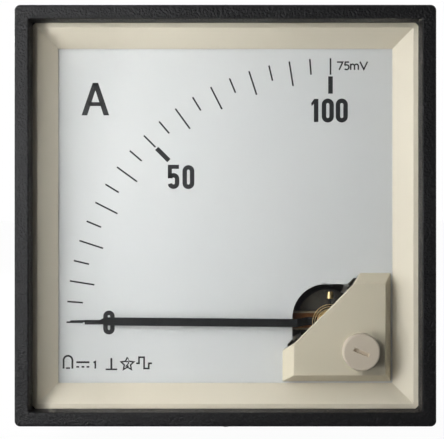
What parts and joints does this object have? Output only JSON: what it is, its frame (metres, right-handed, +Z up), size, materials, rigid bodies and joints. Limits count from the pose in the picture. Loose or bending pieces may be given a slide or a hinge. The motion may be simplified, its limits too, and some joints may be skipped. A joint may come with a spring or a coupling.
{
  "type": "analog panel meter",
  "caption": "Square flush panel meter with a moving-coil pointer on a corner pivot, a quadrant scale, a zero adjuster and rear terminal studs.",
  "frame": {"origin": "centre of the panel cut-out in the plane where the flange seats on the panel's front", "axes": "+Y from the panel's front into the housing, so the dial faces -Y; +Z is up the dial and +X is the dial's right as it is read"},
  "size_m": [0.096, 0.071, 0.1062],
  "materials": {
    "black_moulding": "matte",
    "bezel_black": "satin",
    "clear_window": "gloss",
    "cream_moulding": "satin",
    "dial_white": "matte",
    "cover_cream": "satin",
    "adjuster_cream": "satin",
    "bronze": "satin",
    "brass_parts": "satin",
    "steel_parts": "satin",
    "soft_iron": "matte",
    "magnet_grey": "matte",
    "zinc_cast": "matte",
    "coil_aluminium": "satin",
    "copper_wire": "gloss",
    "pointer_black": "matte",
    "ruby": "gloss",
    "resin_board": "matte",
    "resistor_body": "matte",
    "tinned": "satin",
    "red_insulation": "satin",
    "black_insulation": "satin",
    "blue_insulation": "satin",
    "insulating_fibre": "matte"
  },
  "bodies": {
    "meter": {"housing": "black_moulding", "bezel": "bezel_black", "window": "clear_window", "scale_frame": "cream_moulding", "dial_plate": "dial_white", "corner_cover": "cover_cream", "front_jewel_screw": "brass_parts", "front_jewel": "ruby", "front_lock_nut": "brass_parts", "front_bridge": "zinc_cast", "front_hairspring": "bronze", "rear_hairspring": "bronze", "rear_bridge": "zinc_cast", "rear_jewel_screw": "brass_parts", "rear_jewel": "ruby", "rear_lock_nut": "brass_parts", "rear_spring_tag": "brass_parts", "tag_insulator": "insulating_fibre", "core_magnet": "magnet_grey", "core_spacers": "zinc_cast", "iron_yoke": "soft_iron", "movement_bolts": "steel_parts", "movement_spacers": "brass_parts", "movement_nuts": "steel_parts", "chassis": "steel_parts", "chassis_screws": "steel_parts", "resistor_board": "resin_board", "board_screws": "steel_parts", "series_resistor": "resistor_body", "solder_posts": "tinned", "positive_lead": "red_insulation", "negative_lead": "black_insulation", "movement_lead": "blue_insulation", "positive_lug": "tinned", "negative_lug": "tinned", "chassis_lug": "tinned", "positive_stud": "brass_parts", "negative_stud": "brass_parts", "stud_washers": "brass_parts", "fixing_nuts": "brass_parts", "terminal_washers": "brass_parts", "terminal_nuts": "brass_parts", "clamp_block_top": "zinc_cast", "clamp_block_bottom": "zinc_cast", "clamp_screw_top": "steel_parts", "clamp_screw_bottom": "steel_parts"},
    "moving_element": {"pointer": "pointer_black", "pointer_hub": "pointer_black", "balance_weights": "brass_parts", "front_spindle": "steel_parts", "coil_former": "coil_aluminium", "coil_winding": "copper_wire", "rear_spindle": "steel_parts"},
    "adjuster": {"zero_adjuster": "adjuster_cream", "adjuster_retainer": "steel_parts"},
    "setting_lever": {"zero_lever": "brass_parts"}
  },
  "joints": [
    {"name": "pointer_swing", "type": "hinge", "parent": "meter", "child": "moving_element", "pos_m": [0.0252, 0.0148, -0.0255], "axis": [0, 1, 0], "range_deg": [-3, 91.5], "stiffness_Nm_per_rad": 0.000013, "deforming": ["front_hairspring", "rear_hairspring"]},
    {"name": "zero_adjuster_turn", "type": "hinge", "parent": "meter", "child": "adjuster", "pos_m": [0.0313, -0.003, -0.0314], "axis": [0, 1, 0], "range_deg": [-30, 30]},
    {"name": "setting_lever_turn", "type": "hinge", "parent": "meter", "child": "setting_lever", "pos_m": [0.0252, 0, -0.0255], "axis": [0, 1, 0], "range_deg": [-3.5, 3.5], "deforming": ["front_hairspring"]}
  ],
  "couplings": [
    {"joint": "setting_lever_turn", "follows": "zero_adjuster_turn", "ratio": 0.10541}
  ]
}
